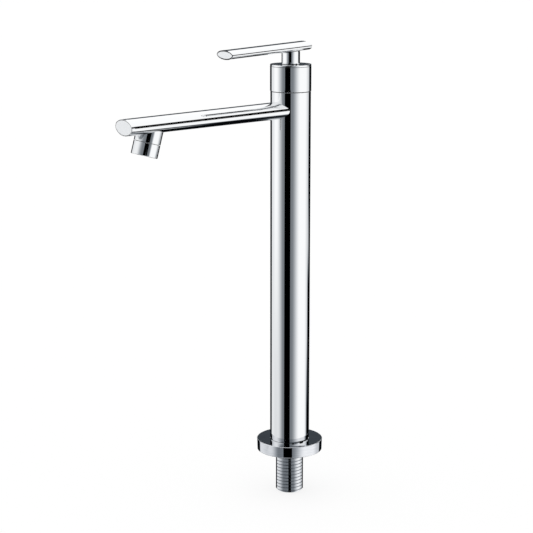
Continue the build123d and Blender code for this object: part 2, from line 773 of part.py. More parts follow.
pieces = {
    "base_flange": base_flange,
    "base_gasket": base_gasket,
    "inlet_tail": inlet_tail,
    "tail_washer": tail_washer,
    "foot_plug": foot_plug,
    "riser_pipe": riser_pipe,
    "lower_riser_seal": lower_riser_seal,
    "upper_riser_seal": upper_riser_seal,
    "column_tube": column_tube,
    "valve_body": valve_body,
    "spout_tube": spout_tube,
    "spout_end_plate": spout_end_plate,
    "spout_root_block": spout_root_block,
    "spout_nipple": spout_nipple,
    "outlet_collar": outlet_collar,
    "aerator_washer": aerator_washer,
    "aerator_housing": aerator_housing,
    "aerator_insert": aerator_insert,
    "flow_screen": flow_screen,
    "cartridge_seal": cartridge_seal,
    "fixed_disc": fixed_disc,
    "moving_disc": moving_disc,
    "cartridge_body": cartridge_body,
    "thrust_ring": thrust_ring,
    "shoulder_seal": shoulder_seal,
    "spindle": spindle,
    "spindle_seals": spindle_seals,
    "spindle_clip": spindle_clip,
    "glide_ring": glide_ring,
    "handle_cap": handle_cap,
    "handle_set_screw": handle_set_screw,
    "screw_cover": screw_cover,
    "handle_post": handle_post,
    "handle_stud": handle_stud,
    "handle_bar": handle_bar,
}
os.makedirs("parts", exist_ok=True)
for name, piece in pieces.items():
    piece.part.label = name
    export_step(piece.part, f"parts/{name}.step")
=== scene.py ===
import json
from math import cos, pi, radians, sin

import bpy
import numpy as np
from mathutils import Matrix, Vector


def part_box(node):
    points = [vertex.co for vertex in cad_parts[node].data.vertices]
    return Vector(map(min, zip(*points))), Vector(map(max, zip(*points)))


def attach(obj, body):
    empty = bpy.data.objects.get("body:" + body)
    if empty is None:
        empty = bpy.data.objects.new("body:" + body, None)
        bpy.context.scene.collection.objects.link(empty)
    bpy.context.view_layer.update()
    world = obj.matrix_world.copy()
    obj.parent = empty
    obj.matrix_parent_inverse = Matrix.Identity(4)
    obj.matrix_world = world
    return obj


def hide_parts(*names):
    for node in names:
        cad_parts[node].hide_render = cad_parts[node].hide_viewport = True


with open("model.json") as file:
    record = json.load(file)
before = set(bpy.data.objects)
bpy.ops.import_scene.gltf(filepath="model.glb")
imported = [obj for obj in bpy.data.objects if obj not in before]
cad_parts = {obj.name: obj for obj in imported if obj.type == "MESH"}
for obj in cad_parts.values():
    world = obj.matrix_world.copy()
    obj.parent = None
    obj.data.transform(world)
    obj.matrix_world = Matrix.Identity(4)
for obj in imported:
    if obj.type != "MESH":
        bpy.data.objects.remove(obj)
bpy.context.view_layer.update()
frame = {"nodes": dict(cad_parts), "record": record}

# Cold water basin tap, chrome plated
# Shapes are worked out in millimetres, and become metres where a mesh is made
MM = 0.001


def corners(node_name):
    """Lowest and highest corner of a CAD node, in millimetres."""
    low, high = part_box(node_name)
    return np.array(low) / MM, np.array(high) / MM


# Sizes read from the frame
column_low, column_high = corners("column_tube")
column_radius = column_high[0]
column_foot, column_top = column_low[2], column_high[2]
flange_high = corners("base_flange")[1]
flange_radius, spigot_top = flange_high[0], flange_high[2]
gasket_low, gasket_high = corners("base_gasket")
tail_low, tail_high = corners("inlet_tail")
tail_radius, tail_end, tail_top = tail_high[0], tail_low[2], tail_high[2]
cap_low, cap_high = corners("handle_cap")
cap_radius, cap_bottom, cap_top = cap_high[0], cap_low[2], cap_high[2]
post_radius = corners("handle_post")[1][0]
bar_low, bar_high = corners("handle_bar")
spout_half_width = corners("spout_tube")[1][0]
outlet_radius = corners("outlet_collar")[1][0]
cover_low, cover_high = corners("screw_cover")

# Sizes that a node's box can't tell
column_wall = 1.5
flange_hole_radius = 10.5
spigot_radius = 13.45
flange_edge = 0.35
flange_draft = 0.24
flange_lower_edge = 0.4
column_foot_bevel = 0.12
column_foot_bevel_height = 0.9
foot_line_height = 0.16
joint_line_depth = 0.25
gasket_width = 6.0
gasket_edge = 0.35
gasket_groove_gap = 0.05
tail_bore_radius = 6.0
tail_neck_radius = 10.2
tail_chamfer = 1.2
thread_pitch = 2.6
thread_depth = 0.5
thread_crown = 0.003
thread_crest_share = 0.74
thread_run_out = thread_pitch / 1.4
cap_wall = 1.95
hub_radius = 8.0
cap_roof = 4.5
cap_ring_height = 1.3
cap_ring_inset = 0.06
cap_line_width = 0.3
cap_line_depth = 0.2
cap_edge = 0.2
cover_line_width = 0.25
cover_line_proud = 0.01
cover_proud = 0.03
cover_centre_radius = 0.01
post_bore_radius = 2.55
post_line_height = 0.3
bar_half_thickness = 3.4
bar_slope = radians(3.4)
bar_front_reach = 57.3
bar_rear_reach = 11.7
bar_edge = 0.3
bar_bevel = 0.2
bar_line_width = 0.7
spout_half_thickness = 5.9
spout_wall = 1.5
spout_root_swell = 0.75
spout_reach = 140.0
spout_slope = radians(1.85)
spout_drop = 12.85
spout_edge = 0.3
spout_end_taper = 0.08
spout_line_width = 0.36
end_plate_thickness = 2.4
outlet_from_spout_end = 21.85
outlet_tilt = radians(15.6)
collar_length = 12.67
collar_bore_radius = 5.6
outlet_seam = 0.25
outlet_length = 22.23
outlet_edge = 0.45
housing_neck_radius = 8.2
housing_neck_length = 3.6
housing_bore_radius = 7.15
housing_lip_radius = 5.9
housing_lip_height = 0.9
fine_edge = 0.12
contact_sink = 0.02

# Points round a section, and steps along a profile
around = 192
thread_around = 128
thread_rows_per_turn = 30
edge_steps = 6
fine_edge_steps = 3


class Plane:
    """Right-handed plane with an axis that a profile's heights are measured along."""

    def __init__(self, origin, axis, across=(1.0, 0.0, 0.0)):
        self.origin = np.array(origin, float)
        self.axis = np.array(axis, float)
        self.across = np.array(across, float)
        self.up = np.cross(self.axis, self.across)


upright = Plane((0, 0, 0), (0, 0, 1))
spout_plane = Plane((0, 0, column_top - spout_drop), (0, -cos(spout_slope), -sin(spout_slope)))
bar_middle_drop = (bar_front_reach - bar_rear_reach) / 2 * sin(bar_slope)
bar_axis_height = (bar_low[2] + bar_high[2]) / 2 + bar_middle_drop
bar_plane = Plane((0, 0, bar_axis_height), (0, -cos(bar_slope), -sin(bar_slope)))
outlet_origin = spout_plane.origin + spout_plane.axis * (spout_reach - outlet_from_spout_end)
outlet_plane = Plane(outlet_origin, (0, -sin(outlet_tilt), -cos(outlet_tilt)))
rear_plane = Plane((0, 0, (cover_low[2] + cover_high[2]) / 2), (0, 1, 0), (-1, 0, 0))


def ring(count=around):
    """Unit circle, counterclockwise, as a column of cosines and a column of sines."""
    angle = np.linspace(0, 2 * pi, count, endpoint=False)
    return np.stack([np.cos(angle), np.sin(angle)], axis=1)


def oval(half_width, half_height):
    """Ellipse (a cos t, b sin t) and its outward unit normal, (cos t / a, sin t / b) made one long."""
    circle, half_axes = ring(), np.array([half_width, half_height])
    normal = circle / half_axes
    normal /= np.linalg.norm(normal, axis=1, keepdims=True)
    return circle * half_axes, normal


def line(*points):
    """Straight runs through (offset, height) points, each stretch a run of its own."""
    return [[start, end] for start, end in zip(points[:-1], points[1:])]


def arc(centre, radius, start, end, steps=edge_steps):
    """One round run: centre plus radius times (cos, sin) of an angle from start to end degrees."""
    angle = np.radians(np.linspace(start, end, steps + 1))
    return [list(zip(centre[0] + radius * np.cos(angle), centre[1] + radius * np.sin(angle)))]


def carried(runs, plane, base, side):
    """Profile runs carried round a section.

    A point is the section's base point, plus the offset times its outward normal, plus the height along
    the axis. An offset or a height may also be an array with one value for each point of the section.
    """
    grids = []
    for run in runs:
        offset = np.stack([np.broadcast_to(point[0], len(side)) for point in run])[..., None]
        height = np.stack([np.broadcast_to(point[1], len(side)) for point in run])[..., None]
        flat = base + offset * side
        grids.append(
            plane.origin + flat[..., :1] * plane.across + flat[..., 1:] * plane.up + height * plane.axis
        )
    return grids


def turned(runs, plane=upright, count=around):
    """Profile runs of (radius, height) turned about the plane's axis."""
    circle = ring(count)
    return carried(runs, plane, np.zeros_like(circle), circle)


def run_normals(grid):
    """Unit normals of one run: cross product of the change along a row and the one from row to row."""
    along = np.roll(grid, -1, axis=1) - np.roll(grid, 1, axis=1)
    if len(grid) > 2:
        upward = np.gradient(grid, axis=0, edge_order=2)
    else:
        upward = np.broadcast_to(grid[1:] - grid[:1], grid.shape)
    normal = np.cross(along, upward)
    return normal / np.maximum(np.linalg.norm(normal, axis=2, keepdims=True), 1e-12)


def skin(name, grids, closed, material, body, nodes, dark_runs=(), shaded=None):
    """Closed mesh over runs of rings that share their end rows.

    Each run keeps its own normals at its ends, so that corners stay crisp and round edges run smoothly
    into flat faces. A closed skin joins its last ring to its first, and an open one ends in a fan at
    each end. The dark runs, given by number, are the bottoms of narrow lines, and get a near-black
    finish that paints the shade in them. A run is shaded as its own shape, or as the run in its place
    among the shaded ones.
    """
    columns = grids[0].shape[1]
    rows = [grids[0]] + [grid[1:] for grid in grids[1:]]
    points = np.concatenate(rows)
    if closed:
        points = points[:-1]
    row_count = len(points)
    faces, normals, finish, start = [], [], [], 0
    column = np.arange(columns)
    following = np.roll(column, -1)
    for number, grid in enumerate(grids):
        normal = run_normals((shaded or grids)[number])
        lower = (start + np.arange(len(grid) - 1))[:, None] % row_count
        upper = (lower + 1) % row_count
        quads = np.stack(
            [
                lower * columns + column,
                lower * columns + following,
                upper * columns + following,
                upper * columns + column,
            ],
            axis=-1,
        )
        faces.append(quads.reshape(-1, 4))
        finish += [int(number in dark_runs)] * len(faces[-1])
        turned_normal = np.roll(normal, -1, axis=1)
        at_corners = [normal[:-1], turned_normal[:-1], turned_normal[1:], normal[1:]]
        normals.append(np.stack(at_corners, axis=2).reshape(-1, 3))
        start += len(grid) - 1
    vertices = points.reshape(-1, 3)
    faces = np.concatenate(faces).tolist()
    normals = np.concatenate(normals)
    if not closed:
        first, last = points[0].mean(axis=0), points[-1].mean(axis=0)
        first_index = np.full(columns, len(vertices))
        vertices = np.concatenate([vertices, [first, last]])
        end_row = (row_count - 1) * columns
        faces += np.stack([following, column, first_index], axis=1).tolist()
        faces += np.stack([end_row + column, end_row + following, first_index + 1], axis=1).tolist()
        for centre, edge, sign in ((first, points[0], -1.0), (last, points[-1], 1.0)):
            flat = sign * np.cross(edge - centre, np.roll(edge, -1, axis=0) - centre).sum(axis=0)
            flat /= np.linalg.norm(flat)
            normals = np.concatenate([normals, np.tile(flat, (3 * columns, 1))])
    mesh = bpy.data.meshes.new(name)
    mesh.from_pydata((vertices * MM).tolist(), [], faces)
    mesh.polygons.foreach_set("use_smooth", np.ones(len(mesh.polygons), bool))
    mesh.normals_split_custom_set(normals.tolist())
    mesh.materials.append(material)
    # Narrow lines get the near-black finish: painted shade in them
    if dark_runs:
        mesh.materials.append(painted_shade_line)
        finish += [0] * (len(mesh.polygons) - len(finish))
        mesh.polygons.foreach_set("material_index", finish)
    piece = bpy.data.objects.new(name, mesh)
    bpy.context.scene.collection.objects.link(piece)
    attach(piece, body)
    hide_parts(*nodes)
    return piece


# Materials

def linear(hex_colour):
    """Linear red, green, blue and alpha of an sRGB hex colour."""
    channels = np.array([int(hex_colour[i:i + 2], 16) for i in (1, 3, 5)]) / 255
    light = np.where(channels <= 0.04045, channels / 12.92, ((channels + 0.055) / 1.055) ** 2.4)
    return (*light.tolist(), 1.0)


def node(tree, kind, inputs=None, **settings):
    """Adds a node with its settings, and fills its inputs with values or with other nodes' outputs."""
    made = tree.nodes.new(kind)
    for name, value in settings.items():
        setattr(made, name, value)
    for socket, value in (inputs or {}).items():
        if isinstance(value, bpy.types.NodeSocket):
            tree.links.new(value, made.inputs[socket])
        else:
            made.inputs[socket].default_value = value
    return made


def new_material(name):
    """Empty material, its node tree and the object coordinates in it."""
    material = bpy.data.materials.new(name)
    material.use_nodes = True
    tree = material.node_tree
    tree.nodes.clear()
    place = node(tree, "ShaderNodeTexCoord").outputs["Object"]
    return material, tree, place


def per_metre(size_mm):
    """Noise scale whose main grain has this real size."""
    return 1 / (size_mm * MM)


# Nearly all of a noise lies between these two values
noise_low, noise_high = 0.3, 0.7

# Sockets of a Mix node that mixes colours: two inputs and the output
colour_a, colour_b, colour_mix = 6, 7, 2

# A plain finish drifts over this many grains, and its roughness goes up and down by this share
drift_grains = 8
roughness_drift = 0.15


def polished_chrome():
    """Bright chrome plate on polished brass.

    Decorative chromium over nickel is a cool mirror. Buffing leaves it nearly free of marks: the eye
    sees crisp reflections, with a haze that comes and goes over a finger's width.
    """
    haze_width, clear, hazy = 14, 0.008, 0.02
    material, tree, place = new_material("polished_chrome_plate")
    haze = node(
        tree, "ShaderNodeTexNoise", {"Vector": place, "Scale": per_metre(haze_width), "Detail": 3.0}
    ).outputs["Fac"]
    blur = node(
        tree,
        "ShaderNodeMapRange",
        {
            "Value": haze,
            "From Min": noise_low,
            "From Max": noise_high,
            "To Min": clear,
            "To Max": hazy,
        },
    ).outputs["Result"]
    surface = node(
        tree,
        "ShaderNodeBsdfPrincipled",
        {"Base Color": linear("#E6E7E8"), "Metallic": 1.0, "Roughness": blur},
    ).outputs["BSDF"]
    node(tree, "ShaderNodeOutputMaterial", {"Surface": surface})
    return material


def turned_chrome():
    """Chrome plate on a turned flange.

    The lathe's feed marks stay under the plate: fine rings round the axis, which streak the mirror level
    with the floor. Real ones are 0.1 to 0.2 mm apart, too fine to show, so they are drawn wider apart.
    They are a noise drawn out across the axis. The plate is a tone darker than the column's.
    """
    marks_apart, scale_across, clear, streaked = 0.7, 0.06, 0.004, 0.016
    material, tree, place = new_material("chrome_on_turned_flange")
    drawn_out = node(
        tree, "ShaderNodeMapping", {"Vector": place, "Scale": (scale_across, scale_across, 1.0)}
    ).outputs["Vector"]
    marks = node(
        tree, "ShaderNodeTexNoise", {"Vector": drawn_out, "Scale": per_metre(marks_apart), "Detail": 2.0}
    ).outputs["Fac"]
    tone = node(
        tree,
        "ShaderNodeMix",
        {"Factor": marks, colour_a: linear("#BFC2C8"), colour_b: linear("#EDEEF0")},
        data_type="RGBA",
    ).outputs[colour_mix]
    blur = node(
        tree,
        "ShaderNodeMapRange",
        {
            "Value": marks,
            "From Min": noise_low,
            "From Max": noise_high,
            "To Min": clear,
            "To Max": streaked,
        },
    ).outputs["Result"]
    surface = node(
        tree, "ShaderNodeBsdfPrincipled", {"Base Color": tone, "Metallic": 1.0, "Roughness": blur}
    ).outputs["BSDF"]
    node(tree, "ShaderNodeOutputMaterial", {"Surface": surface})
    return material


def plain(name, colour, metallic, roughness, grain_mm, grain_depth_mm, colour_change=0.1):
    """Finish whose colour and roughness drift with one noise, with a grain that is a bump of real depth.

    The grain's width and depth are in millimetres. The colour changes by the given share of its light.
    """
    drift_mm = grain_mm * drift_grains
    light = linear(colour)
    dark = (*(channel * (1 - colour_change) for channel in light[:3]), 1.0)
    smooth, rough = roughness * (1 - roughness_drift), roughness * (1 + roughness_drift)
    material, tree, place = new_material(name)
    drift = node(
        tree, "ShaderNodeTexNoise", {"Vector": place, "Scale": per_metre(drift_mm), "Detail": 3.0}
    ).outputs["Fac"]
    grain = node(
        tree, "ShaderNodeTexNoise", {"Vector": place, "Scale": per_metre(grain_mm), "Detail": 2.0}
    ).outputs["Fac"]
    bump = node(
        tree, "ShaderNodeBump", {"Height": grain, "Distance": grain_depth_mm * MM, "Strength": 1.0}
    ).outputs["Normal"]
    tone = node(
        tree, "ShaderNodeMix", {"Factor": drift, colour_a: dark, colour_b: light}, data_type="RGBA"
    ).outputs[colour_mix]
    blur = node(
        tree,
        "ShaderNodeMapRange",
        {
            "Value": drift,
            "From Min": noise_low,
            "From Max": noise_high,
            "To Min": smooth,
            "To Max": rough,
        },
    ).outputs["Result"]
    surface = node(
        tree,
        "ShaderNodeBsdfPrincipled",
        {"Base Color": tone, "Metallic": metallic, "Roughness": blur, "Normal": bump},
    ).outputs["BSDF"]
    node(tree, "ShaderNodeOutputMaterial", {"Surface": surface})
    return material


chrome = polished_chrome()
chrome_flange = turned_chrome()
# Chrome over a cut thread: the plate follows the tool's marks, so the mirror is broken and softer
chrome_thread = plain("chrome_on_cut_thread", "#E0E2E5", 1.0, 0.05, 0.25, 0.0003)
# Root of the cut thread: satin, with a grey that paints the shade in the root
painted_shade_thread_root = plain("chrome_with_painted_shade_in_thread_root", "#85888E", 1.0, 0.12, 0.25, 0.0006)
# Chrome over a lapped flat face: an even satin that shows no clear picture of the room
chrome_satin = plain("chrome_on_lapped_face", "#F7F8F9", 1.0, 0.34, 0.3, 0.0003)
# Free-cutting brass, turned: yellow metal with a soft shine from the tool
brass = plain("turned_brass", "#D2AE66", 1.0, 0.26, 0.3, 0.006)
# Bright drawn stainless steel: greyer and duller than the plate
steel = plain("bright_stainless_steel", "#BDBCB8", 1.0, 0.24, 0.3, 0.004)
# Moulded EPDM rubber: near black, matt, with a faint bloom
rubber = plain("moulded_epdm_rubber", "#1C1C1D", 0.0, 0.62, 0.4, 0.01, 0.3)
# Pressed vulcanised fibre: brick red, dry and slightly mottled
fibre = plain("pressed_vulcanised_fibre", "#8E4A38", 0.0, 0.72, 0.5, 0.02, 0.25)
# Bottom of a narrow line: a dull, nearly black finish that paints the shade in the line
painted_shade_line = plain("painted_shade_line", "#2A2B2E", 0.0, 0.55, 0.3, 0.002, 0.2)
# Natural moulded acetal: waxy white
acetal = plain("moulded_acetal", "#ECEBE6", 0.0, 0.34, 0.6, 0.004, 0.04)
# Moulded black acetal: satin black, slippery
black_acetal = plain("moulded_black_acetal", "#17181A", 0.0, 0.4, 0.6, 0.004, 0.1)
# Lapped alumina: ivory ceramic, opaque, with a fine dull polish
alumina = plain("lapped_alumina", "#EFE9DC", 0.0, 0.18, 0.2, 0.002, 0.05)

finishes = {
    "chrome_plate": chrome,
    "chrome_thread": chrome_thread,
    "turned_brass": brass,
    "stainless_steel": steel,
    "black_rubber": rubber,
    "fibre": fibre,
    "white_acetal": acetal,
    "black_acetal": black_acetal,
    "alumina": alumina,
}
for subpart in frame["record"]["subparts"]:
    slots = frame["nodes"][subpart["node"]].data.materials
    slots.clear()
    slots.append(finishes[subpart["material_slot"]])


def satin_front(piece):
    """Gives the flat face at the far end of an open skin the satin finish."""
    finish = np.zeros(len(piece.data.polygons), int)
    piece.data.polygons.foreach_get("material_index", finish)
    finish[-around:] = len(piece.data.materials)
    piece.data.materials.append(chrome_satin)
    piece.data.polygons.foreach_set("material_index", finish)


# Pieces that stay with the basin

def column():
    """Tube of the column: a line of painted shade and a slight bevel at its foot, a fine round edge at its
    top.
    """
    inner = column_radius - column_wall
    foot, top, edge = column_foot, column_top, fine_edge
    foot_radius = column_radius - column_foot_bevel
    line_radius, line_top = foot_radius - joint_line_depth, foot + foot_line_height
    runs = (
        line(
            (line_radius, foot),
            (line_radius, line_top),
            (foot_radius, line_top),
            (column_radius, line_top + column_foot_bevel_height),
            (column_radius, top - edge),
        )
        + arc((column_radius - edge, top - edge), edge, 0, 90, fine_edge_steps)
        + line((column_radius - edge, top), (inner, top), (inner, foot), (line_radius, foot))
    )
    grids = turned(runs)
    # Runs 0 and 1, the foot line, are painted shade
    skin("column", grids, True, chrome, "base", ["column_tube"], dark_runs=(0, 1))


def flange():
    """Round flange, narrower below, with round edges, the gasket's groove and the column's spigot."""
    groove_outer = gasket_high[0] + gasket_groove_gap
    groove_inner = gasket_high[0] - gasket_width - gasket_groove_gap
    groove_top, lower, upper = gasket_high[2], flange_lower_edge, flange_edge
    lower_radius = flange_radius - flange_draft
    runs = (
        line(
            (flange_hole_radius, 0),
            (groove_inner, 0),
            (groove_inner, groove_top),
            (groove_outer, groove_top),
            (groove_outer, 0),
            (lower_radius - lower, 0),
        )
        + arc((lower_radius - lower, lower), lower, -90, 0)
        + line((lower_radius, lower), (flange_radius, column_foot - upper))
        + arc((flange_radius - upper, column_foot - upper), upper, 0, 90)
        + line(
            (flange_radius - upper, column_foot),
            (spigot_radius, column_foot),
            (spigot_radius, spigot_top),
            (flange_hole_radius, spigot_top),
            (flange_hole_radius, 0),
        )
    )
    skin("flange", turned(runs), True, chrome_flange, "base", ["base_flange"])


def rounded_ring(inner, outer, bottom, top, edge):
    """Profile of a ring with four equal round edges."""
    return (
        line((inner + edge, bottom), (outer - edge, bottom))
        + arc((outer - edge, bottom + edge), edge, -90, 0)
        + line((outer, bottom + edge), (outer, top - edge))
        + arc((outer - edge, top - edge), edge, 0, 90)
        + line((outer - edge, top), (inner + edge, top))
        + arc((inner + edge, top - edge), edge, 90, 180)
        + line((inner, top - edge), (inner, bottom + edge))
        + arc((inner + edge, bottom + edge), edge, 180, 270)
    )


def gasket():
    """Rubber ring in the flange's underside."""
    outer = gasket_high[0]
    runs = rounded_ring(outer - gasket_width, outer, gasket_low[2], gasket_high[2], gasket_edge)
    skin("gasket", turned(runs), True, rubber, "base", ["base_gasket"])


def threaded_tail():
    """Tail with a real screw thread, its narrow roots in a duller finish whose grey paints the shade in
    them.

    The turn's phase is height over pitch less angle over a full turn, and u is how far it lies from the
    nearest crest's middle, from 0 to 1. The radius falls by the crown times the square of u over the
    crest's share, and past the crest by half the depth times (1 - cos) of the rest. It stays inside the
    end chamfer, and the depth fades out towards the flange.
    """
    row_count = int(-tail_end / thread_pitch * thread_rows_per_turn)
    height = np.linspace(tail_end, 0, row_count)[:, None]
    angle = np.linspace(0, 2 * pi, thread_around, endpoint=False)
    phase = height / thread_pitch - angle / (2 * pi)
    from_crest = np.abs(2 * (phase - np.floor(phase)) - 1)
    crown = thread_crown * np.minimum(from_crest / thread_crest_share, 1) ** 2
    past_crest = np.clip((from_crest - thread_crest_share) / (1 - thread_crest_share), 0, 1)
    root = (thread_depth - thread_crown) * (0.5 - 0.5 * np.cos(pi * past_crest))
    run_out = np.clip(-height / thread_run_out, 0, 1)
    radius = tail_radius - (crown + root) * run_out
    radius = np.minimum(radius, tail_radius - tail_chamfer + (height - tail_end))
    thread = [[(r, h) for r, h in zip(radius, height)]]
    runs = (
        thread
        + line((radius[-1], 0), (tail_neck_radius, 0), (tail_neck_radius, tail_top))
        + line((tail_neck_radius, tail_top), (tail_bore_radius, tail_top), (tail_bore_radius, tail_end))
        + line((tail_bore_radius, tail_end), (radius[0], tail_end))
    )
    grids = turned(runs, upright, thread_around)
    smooth = turned([[(tail_radius, h) for h in height]], upright, thread_around) + grids[1:]
    piece = skin(
        "threaded_tail", grids, True, chrome_thread, "base", ["inlet_tail"], shaded=smooth
    )
    # Faces in the thread's roots get the grey finish: painted shade
    in_root = from_crest[:-1] > thread_crest_share
    finish = np.zeros(len(piece.data.polygons), int)
    finish[:in_root.size] = in_root.ravel()
    piece.data.materials.append(painted_shade_thread_root)
    piece.data.polygons.foreach_set("material_index", finish)


def spout():
    """Oval tube whose root follows the column.

    Each line of its wall starts where its distance from the column's axis is the column's radius. Its
    lower half is deeper at the root, by the swell times the square of the ellipse's sine.
    """
    base, side = oval(spout_half_width, spout_half_thickness)
    swell = spout_root_swell * np.minimum(ring()[:, 1], 0) ** 2

    def root(offset):
        """Distance along the spout where a line of its wall meets the column."""
        flat = base + np.reshape(offset, (-1, 1)) * side
        start = spout_plane.origin + flat[:, :1] * spout_plane.across + flat[:, 1:] * spout_plane.up
        reach = np.sqrt((column_radius - contact_sink) ** 2 - start[:, 0] ** 2)
        return (-reach - start[:, 1]) / spout_plane.axis[1]

    end = spout_reach - end_plate_thickness
    outer_root, inner_root = root(swell), root(-spout_wall)
    runs = line(
        (swell, outer_root),
        (0, end),
        (-spout_wall, end),
        (-spout_wall, inner_root),
        (swell, outer_root),
    )
    grids = carried(runs, spout_plane, base, side)
    skin("spout", grids, True, chrome, "base", ["spout_tube"])


def end_line(offset, front, width):
    """Fine line cut into a flat face, from this offset inwards, a quarter as deep as it is wide."""
    depth = width / 4
    return line((offset, front), (offset - depth, front - depth), (offset - width, front))


def spout_end():
    """Plate that closes the spout: slight taper, round edge, and a fine line of painted shade round its
    satin face.
    """
    base, side = oval(spout_half_width, spout_half_thickness)
    rear, front = spout_reach - end_plate_thickness, spout_reach
    edge, taper = spout_edge, spout_end_taper
    runs = (
        line((0, rear), (-taper, front - edge))
        + arc((-taper - edge, front - edge), edge, 0, 90)
        + end_line(-taper - edge, front, spout_line_width)
    )
    grids = carried(runs, spout_plane, base, side)
    piece = skin(
        "spout_end", grids, False, chrome, "base", ["spout_end_plate"], dark_runs=(2, 3)
    )
    satin_front(piece)


def under_spout(radius):
    """Distances along the outlet's axis where lines of a round wall meet the spout's underside.

    At x to the side the underside is the ellipse's lower half: -b times the root of 1 less the square
    of x / a.
    """
    circle = ring() * radius
    start = outlet_plane.origin + circle[:, :1] * outlet_plane.across + circle[:, 1:] * outlet_plane.up
    underside = -spout_half_thickness * np.sqrt(1 - (start[:, 0] / spout_half_width) ** 2)
    now = (start - spout_plane.origin) @ spout_plane.up
    return (underside + contact_sink - now) / (outlet_plane.axis @ spout_plane.up)


def outlet():
    """Collar under the spout, its top shaped to the spout."""
    edge = fine_edge
    outer_top, inner_top = under_spout(outlet_radius), under_spout(collar_bore_radius)
    runs = (
        line((outlet_radius, outer_top), (outlet_radius, collar_length - edge))
        + arc((outlet_radius - edge, collar_length - edge), edge, 0, 90, fine_edge_steps)
        + line(
            (outlet_radius - edge, collar_length),
            (collar_bore_radius, collar_length),
            (collar_bore_radius, inner_top),
            (outlet_radius, outer_top),
        )
    )
    grids = turned(runs, outlet_plane)
    skin("outlet", grids, True, chrome, "base", ["outlet_collar"])


def aerator_ring():
    """Screwed ring of the aerator: neck, wall with a round lower edge, and lip that holds the insert."""
    start, end, edge = collar_length + outlet_seam, outlet_length, outlet_edge
    neck_start = collar_length - housing_neck_length
    lip_top = end - housing_lip_height
    runs = (
        line(
            (housing_bore_radius, neck_start),
            (housing_neck_radius, neck_start),
            (housing_neck_radius, start),
            (outlet_radius - fine_edge, start),
        )
        + arc((outlet_radius - fine_edge, start + fine_edge), fine_edge, -90, 0, fine_edge_steps)
        + line((outlet_radius, start + fine_edge), (outlet_radius, end - edge))
        + arc((outlet_radius - edge, end - edge), edge, 0, 90)
        + line(
            (outlet_radius - edge, end),
            (housing_lip_radius, end),
            (housing_lip_radius, lip_top),
            (housing_bore_radius, lip_top),
            (housing_bore_radius, neck_start),
        )
    )
    grids = turned(runs, outlet_plane)
    # The neck and the seam's floor, runs 1 and 2, are painted shade in the seam below the collar
    skin(
        "aerator_ring", grids, True, chrome, "base", ["aerator_housing"], dark_runs=(1, 2)
    )


# Pieces that turn with the handle

def cap():
    """Cap with a fine seam below, a turned line whose lower flank is painted shade, and a ring above it with
    a round top edge.
    """
    inner, ceiling, line_top = cap_radius - cap_wall, cap_top - cap_roof, cap_top - cap_ring_height
    top_radius, edge = cap_radius - cap_ring_inset, cap_edge
    runs = (
        line(
            (hub_radius, ceiling),
            (inner, ceiling),
            (inner, cap_bottom),
            (cap_radius - fine_edge, cap_bottom),
        )
        + arc((cap_radius - fine_edge, cap_bottom + fine_edge), fine_edge, -90, 0, fine_edge_steps)
        + line(
            (cap_radius, cap_bottom + fine_edge),
            (cap_radius, line_top - cap_line_width),
            (cap_radius - cap_line_depth, line_top - cap_line_width / 2),
            (top_radius, line_top),
            (top_radius, cap_top - edge),
        )
        + arc((top_radius - edge, cap_top - edge), edge, 0, 90)
    )
    grids = turned(runs)
    skin("cap", grids, False, chrome, "handle", ["handle_cap"], dark_runs=(5,))


def post():
    """Round post with a line of painted shade at its foot and at its top, which follows the bar's underside.
    """

    def below_bar(radius):
        """Heights where lines of a round wall meet the bar's underside, its ellipse's lower half."""
        circle = ring() * radius
        side = circle[:, 0] / bar_high[0]
        underside = -bar_half_thickness * np.sqrt(1 - side**2) + contact_sink
        return bar_plane.origin[2] + (underside + circle[:, 1] * sin(bar_slope)) / cos(bar_slope)

    bottom, line_radius = cap_top, post_radius - joint_line_depth
    line_top = bottom + post_line_height
    upper_line = below_bar(post_radius) - post_line_height
    runs = line(
        (line_radius, bottom),
        (line_radius, line_top),
        (post_radius, line_top),
        (post_radius, upper_line),
        (line_radius, upper_line),
        (line_radius, below_bar(line_radius)),
        (post_bore_radius, below_bar(post_bore_radius)),
        (post_bore_radius, bottom),
        (line_radius, bottom),
    )
    grids = turned(runs)
    skin("post", grids, True, chrome, "handle", ["handle_post"], dark_runs=(0, 1, 3, 4))


def lever():
    """Flat oval bar: a round edge at the rear, a bevel in front, and a line of painted shade round its satin
    face.
    """
    base, side = oval(bar_high[0], bar_half_thickness)
    rear, front, edge = -bar_rear_reach, bar_front_reach, bar_edge
    runs = (
        arc((-edge, rear + edge), edge, -90, 0)
        + line((0, rear + edge), (0, front - bar_bevel), (-bar_bevel, front))
        + end_line(-bar_bevel, front, bar_line_width)
    )
    grids = carried(runs, bar_plane, base, side)
    piece = skin("lever", grids, False, chrome, "handle", ["handle_bar"], dark_runs=(3, 4))
    satin_front(piece)


def screw_cover():
    """Round cover in the back of the cap, in a fine line of painted shade, each a hair's breadth proud of
    the cap.

    A point at x to the side lies behind the axis by the root of the cap's radius squared less x squared,
    plus how proud it stands.
    """
    side = ring()[:, 0]

    def on_cap(radius, proud):
        """Profile point at this radius that stands this proud of the cap's wall."""
        return radius, np.sqrt(cap_radius**2 - (radius * side) ** 2) + proud

    radius, line_radius = cover_high[0], cover_high[0] + cover_line_width
    runs = line(
        on_cap(line_radius, -cap_wall / 2),
        on_cap(line_radius, cover_line_proud),
        on_cap(radius, cover_line_proud),
        on_cap(radius, cover_proud),
    )
    inner_radii = np.linspace(radius, cover_centre_radius, edge_steps)
    runs.append([on_cap(inner, cover_proud) for inner in inner_radii])
    grids = turned(runs, rear_plane)
    skin("screw_cover", grids, False, chrome, "handle", ["screw_cover"], dark_runs=(0, 1))


